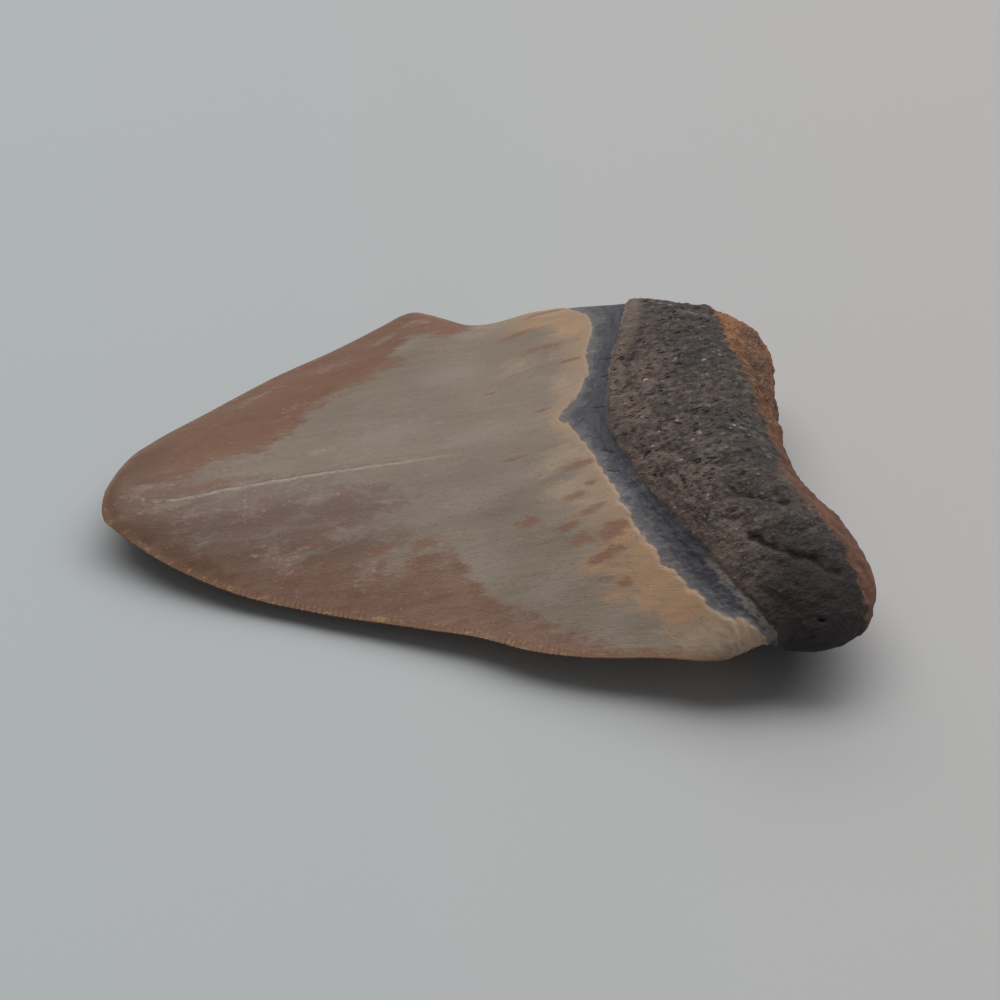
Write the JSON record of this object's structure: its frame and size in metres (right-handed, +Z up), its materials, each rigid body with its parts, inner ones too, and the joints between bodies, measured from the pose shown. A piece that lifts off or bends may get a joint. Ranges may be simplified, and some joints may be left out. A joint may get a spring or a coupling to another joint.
{
  "type": "fossil megalodon tooth",
  "caption": "Worn fossil tooth of a giant shark: serrated crown, dark gum band, pitted root; rests on its outer face.",
  "frame": {"origin": "under the middle of the tooth's bounding box, on the plane it rests on", "axes": "+X from the tooth's point to its root, +Y towards the shorter, broken side, +Z up out of the inner face"},
  "size_m": [0.0996, 0.0804, 0.0203],
  "materials": {
    "fossil_tooth": "satin"
  },
  "bodies": {
    "root": {"megalodon_tooth": "fossil_tooth"}
  },
  "joints": []
}
